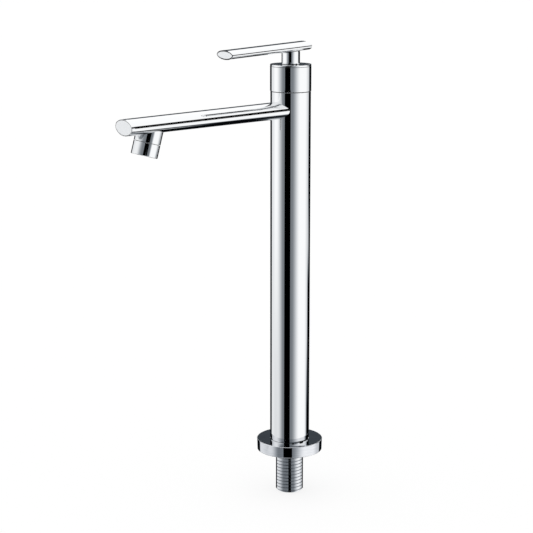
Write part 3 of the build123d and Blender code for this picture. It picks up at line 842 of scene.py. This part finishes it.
column()
flange()
gasket()
threaded_tail()
spout()
spout_end()
outlet()
aerator_ring()
cap()
screw_cover()
post()
lever()


# Camera, placed in metres as it was fitted to the outlines in the photo

view_azimuth = radians(55.33)
camera_place = Vector((0.9541, -0.6600, 0.3947))
camera_direction = Vector((-0.81215, 0.54362, -0.2119)).normalized()
focal_length = 106.5
sensor_width = 36.0

camera_data = bpy.data.cameras.new("camera")
camera_data.lens = focal_length
camera_data.sensor_width = sensor_width
camera_data.sensor_fit = "HORIZONTAL"
camera = bpy.data.objects.new("camera", camera_data)
camera.rotation_euler = camera_direction.to_track_quat("-Z", "Y").to_euler()
camera.location = camera_place
bpy.context.scene.collection.objects.link(camera)
bpy.context.scene.camera = camera

# Studio: soft boxes, walls and flags round the tap, which only reflections and clear pieces show

# Each card has a left, a right, a lower and an upper edge, each with its softness, in degrees, and then
# its brightness. Azimuth is 0 on the camera's side and grows to the right. Later cards hide earlier ones.
cards = {
    "pale_floor_below": (-200, 1, 52, 6, -100, 1, -57.5, 1, 0.8),
    "dim_room_behind": (-200, 1, 200, 1, 2, 4, 20, 0.7, 0.055),
    "overhead": (-200, 1, 200, 1, 20, 0.7, 100, 1, 0.96),
    "grey_front": (-129, 5, 131, 4, -45, 6, 20, 0.7, 0.19),
    "right_soft_box": (33, 25, 129, 5, -51.5, 4, 20, 0.7, 0.95),
    "right_soft_box_end": (106, 16, 129, 5, -51.5, 4, 20, 0.7, 0.62),
    "right_flag_low": (113, 9, 200, 1, -18.95, 0.03, -15.8, 1.6, 0.0),
    "grey_upper_front": (-9, 3, 47, 12, -4.0, 1.0, 15, 1, 0.17),
    "left_soft_box": (-129, 5, -62, 24, -34, 6, 20, 0.7, 0.95),
    "left_soft_box_low": (-129, 5, -64, 24, -34, 6, -13.5, 4.5, 0.72),
    "left_soft_box_post": (-110, 8, -53, 24, -4.885, 0.01, 3, 1, 0.97),
    "left_soft_box_outlet": (-110, 8, -52, 34, 3, 1, 17.8, 0.3, 0.86),
    "left_soft_box_end": (-129, 5, -104, 8, -34, 6, 20, 0.7, 0.78),
    "dim_low_front": (-74, 26, 56, 28, -21.4, 0.1, -18.95, 0.02, 0.18),
    "post_edge_right": (106, 5, 200, 1, -4.885, 0.01, 1, 0.3, 0.0),
    "post_edge_left": (-200, 1, -124, 5, -4.885, 0.01, 1, 0.3, 0.0),
    "upper_edge_right": (124.5, 4, 200, 1, -10.5, 1.5, -4.885, 0.01, 0.0),
    "outlet_edge_right": (121, 4, 200, 1, -17, 1, -12, 1, 0.0),
    "tall_flag": (-33.5, 0.4, 1, 0.4, -18.95, 0.02, -5.86, 0.03, 0.0),
    "cap_flag": (-31.7, 0.4, -0.8, 0.4, -6.0, 0.03, -4.885, 0.01, 0.0),
    "flange_flag": (-22, 0.4, 9.5, 0.4, -24, 0.5, -21.4, 0.1, 0.0),
    "tail_flag": (-9, 0.4, 15, 0.4, -21.4, 0.1, -18.95, 0.02, 0.0),
    "post_flag": (-25, 0.4, 8.5, 0.4, -4.885, 0.01, 1, 0.3, 0.0),
    "outlet_flag": (-9, 0.4, 26, 0.4, 5.3, 0.3, 15, 1, 0.0),
    "outlet_flag_low": (14, 0.4, 26, 0.4, 1, 0.3, 5.5, 0.3, 0.0),
    "mirrored_foot_flag": (-33.5, 0.4, 1, 0.4, 2, 0.3, 5, 0.3, 0.0),
    "foot_left_edge": (-163, 1, -124, 3, 18.1, 0.04, 41, 1, 0.0),
    "foot_right_edge": (103, 13, 163, 1, 18.1, 0.04, 18.52, 0.02, 0.0),
    "mirrored_right_edge": (118, 6, 163, 1, 18.52, 0.02, 18.9, 0.04, 0.0),
    "foot_grey": (-62, 20, 70, 3, 18.9, 0.04, 43.5, 1, 0.13),
    "foot_flag": (-33.5, 0.4, 1, 0.4, 15, 1, 43.5, 1, 0.0),
    "gap_below_foot": (60, 3, 85, 2, 4, 1, 18.1, 0.04, 0.0),
    "gap_above_foot": (60, 3, 104, 5, 18.9, 0.04, 48, 1, 0.0),
    "foot_bevel_edge": (85, 3, 155, 4, 20, 0.5, 39, 1, 0.0),
    "rear_soft_box": (168, 3, 200, 1, -19, 2, 0, 1, 0.85),
    "rear_soft_box_left": (-200, 1, -168, 3, -19, 2, 0, 1, 0.85),
}
room_brightness = 0.002
card_strength = 1.27
coolness = 0.05
plain_light = 1.0
background_light = 1.0

world = bpy.data.worlds.new("studio")
bpy.context.scene.world = world
world.use_nodes = True
sky = world.node_tree
sky.nodes.clear()
direction = node(sky, "ShaderNodeTexCoord").outputs["Generated"]
from_camera_side = node(
    sky,
    "ShaderNodeVectorRotate",
    {"Vector": direction, "Angle": pi / 2 - view_azimuth},
    rotation_type="Z_AXIS",
).outputs["Vector"]
parts = node(sky, "ShaderNodeSeparateXYZ", {"Vector": from_camera_side}).outputs
azimuth = node(sky, "ShaderNodeMath", {0: parts["Y"], 1: parts["X"]}, operation="ARCTAN2").outputs[0]
azimuth = node(sky, "ShaderNodeMath", {0: azimuth}, operation="DEGREES").outputs[0]
elevation = node(sky, "ShaderNodeMath", {0: parts["Z"]}, operation="ARCSINE").outputs[0]
elevation = node(sky, "ShaderNodeMath", {0: elevation}, operation="DEGREES").outputs[0]

brightness = room_brightness
for left, left_soft, right, right_soft, low, low_soft, high, high_soft, level in cards.values():
    cover = None
    for value, edge, soft, rising in (
        (azimuth, left, left_soft, True),
        (azimuth, right, right_soft, False),
        (elevation, low, low_soft, True),
        (elevation, high, high_soft, False),
    ):
        step = node(
            sky,
            "ShaderNodeMapRange",
            {
                "Value": value,
                "From Min": edge - soft,
                "From Max": edge + soft,
                "To Min": 0.0 if rising else 1.0,
                "To Max": 1.0 if rising else 0.0,
            },
            interpolation_type="SMOOTHSTEP",
        ).outputs["Result"]
        if cover is None:
            cover = step
        else:
            cover = node(sky, "ShaderNodeMath", {0: cover, 1: step}, operation="MULTIPLY").outputs[0]
    layered = node(sky, "ShaderNodeMix", {"Factor": cover, "A": brightness, "B": level})
    brightness = layered.outputs["Result"]

# Dim light in the studio is a little cooler: red is the brightness to a power above 1, blue to one below
red = node(sky, "ShaderNodeMath", {0: brightness, 1: 1 + coolness}, operation="POWER").outputs[0]
blue = node(sky, "ShaderNodeMath", {0: brightness, 1: 1 - coolness}, operation="POWER").outputs[0]
tint = node(sky, "ShaderNodeCombineColor", {"Red": red, "Green": brightness, "Blue": blue}).outputs[0]

# Reflections and clear pieces show the cards, dull surfaces get plain white light, and the camera sees white
card_light = node(sky, "ShaderNodeBackground", {"Color": tint, "Strength": card_strength}).outputs[0]
dull_light, white = (
    node(sky, "ShaderNodeBackground", {"Color": (1, 1, 1, 1), "Strength": strength}).outputs[0]
    for strength in (plain_light, background_light)
)
ray = node(sky, "ShaderNodeLightPath").outputs
glossy_or_clear = node(
    sky,
    "ShaderNodeMath",
    {0: ray["Is Glossy Ray"], 1: ray["Is Transmission Ray"]},
    operation="MAXIMUM",
).outputs[0]
seen_by_object = node(
    sky, "ShaderNodeMixShader", {0: glossy_or_clear, 1: dull_light, 2: card_light}
).outputs[0]
seen = node(
    sky, "ShaderNodeMixShader", {0: ray["Is Camera Ray"], 1: seen_by_object, 2: white}
).outputs[0]
node(sky, "ShaderNodeOutputWorld", {"Surface": seen})

# Soft light from above and the left, which the metal doesn't mirror
sun_strength = 0.03 * pi
sun_width = radians(50)
sun_tilt = (radians(28), radians(-22), 0)

sun_data = bpy.data.lights.new("soft_light", "SUN")
sun_data.energy = sun_strength
sun_data.angle = sun_width
sun = bpy.data.objects.new("soft_light", sun_data)
sun.rotation_euler = sun_tilt
sun.visible_glossy = False
bpy.context.scene.collection.objects.link(sun)

# Pale floor under the tail, which the metal doesn't mirror. It glows by a share, to the camera alone, so
# that it is as white as the background and still shows the tap's shadow.
floor_radius = 14000.0
floor_sides = 96
floor_gap = 0.3
floor_glow = 0.8

floor_material, floor_tree, _ = new_material("pale_floor")
paint = node(floor_tree, "ShaderNodeBsdfDiffuse", {"Color": linear("#FFFFFF")}).outputs["BSDF"]
glow = node(
    floor_tree, "ShaderNodeEmission", {"Color": linear("#FFFFFF"), "Strength": 1.0}
).outputs["Emission"]
to_camera = node(floor_tree, "ShaderNodeLightPath").outputs["Is Camera Ray"]
share = node(
    floor_tree, "ShaderNodeMath", {0: to_camera, 1: floor_glow}, operation="MULTIPLY"
).outputs[0]
pale = node(floor_tree, "ShaderNodeMixShader", {0: share, 1: paint, 2: glow}).outputs["Shader"]
node(floor_tree, "ShaderNodeOutputMaterial", {"Surface": pale})

floor_height = np.full((floor_sides, 1), tail_end - floor_gap)
floor_corners = np.concatenate([ring(floor_sides) * floor_radius, floor_height], axis=1)
floor_mesh = bpy.data.meshes.new("floor")
floor_mesh.from_pydata((floor_corners * MM).tolist(), [], [list(range(floor_sides))])
floor_mesh.materials.append(floor_material)
floor = bpy.data.objects.new("floor", floor_mesh)
floor.visible_glossy = False
bpy.context.scene.collection.objects.link(floor)

bpy.context.scene.view_settings.view_transform = "Standard"
